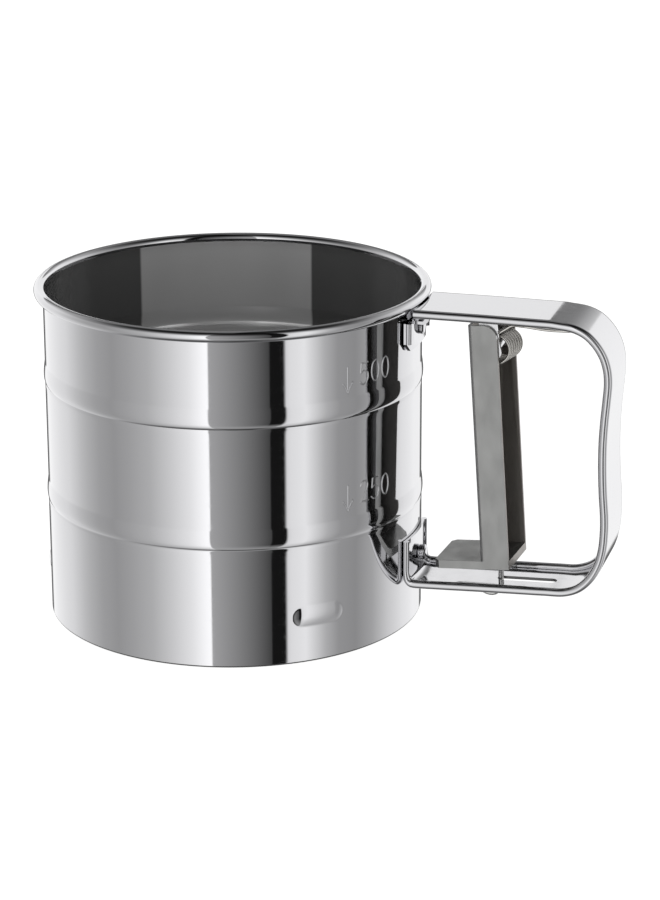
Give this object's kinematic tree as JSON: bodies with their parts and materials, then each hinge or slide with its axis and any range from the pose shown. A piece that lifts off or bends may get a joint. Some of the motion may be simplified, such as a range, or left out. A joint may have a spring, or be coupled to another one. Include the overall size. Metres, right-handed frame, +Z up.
{
  "type": "flour sifter",
  "caption": "Hand-held flour sifter: steel cup over a fine mesh, with a loop handle and a sprung trigger that swings an agitator.",
  "frame": {"origin": "on the plane the cup stands on, under the middle of the whole part's box", "axes": "+X from the cup towards the handle, +Z up out of the cup's mouth"},
  "size_m": [0.156, 0.1046, 0.0899],
  "materials": {
    "polished_steel": "mirror-polished stainless sheet",
    "plain_steel": "plain mill-finish stainless sheet and rivets",
    "satin_steel": "satin grey stamped sheet",
    "mesh_wire": "fine woven stainless wire",
    "spring_wire": "drawn wire"
  },
  "bodies": {
    "cup": {"cup_shell": "polished_steel", "mesh_support_ring": "plain_steel", "sieve_mesh": "mesh_wire", "mesh_clamp_ring": "plain_steel", "agitator_spider": "plain_steel", "centre_rivet": "plain_steel", "lower_washer": "plain_steel", "upper_washer": "plain_steel", "handle_strip": "polished_steel", "upper_bracket": "polished_steel", "upper_rivet": "plain_steel", "lower_rivet": "plain_steel", "hinge_bracket": "plain_steel", "hinge_pin": "plain_steel"},
    "trigger": {"trigger": "satin_steel", "torsion_spring": "spring_wire"},
    "link": {"link_wire": "spring_wire"},
    "agitator": {"agitator_star": "plain_steel", "agitator_hub": "plain_steel"}
  },
  "joints": [
    {"name": "trigger_hinge", "type": "hinge", "parent": "cup", "child": "trigger", "pos_m": [0.04652, 0, 0.0776], "axis": [0, -1, 0], "range_deg": [0, 14], "stiffness_Nm_per_rad": 0.8, "springref_deg": -20.05, "deforming": ["torsion_spring"]},
    {"name": "link_slide", "type": "slide", "parent": "cup", "child": "link", "axis": [1, 0, 0], "range_m": [0, 0.01401]},
    {"name": "agitator_spin", "type": "hinge", "parent": "cup", "child": "agitator", "pos_m": [-0.02567, 0, 0.0088], "axis": [0, 0, 1], "range_deg": [-35.32, 0]}
  ],
  "couplings": [
    {"joint": "link_slide", "follows": "trigger_hinge", "m_per_rad": 0.057296},
    {"joint": "agitator_spin", "follows": "trigger_hinge", "ratio": -2.5215}
  ]
}
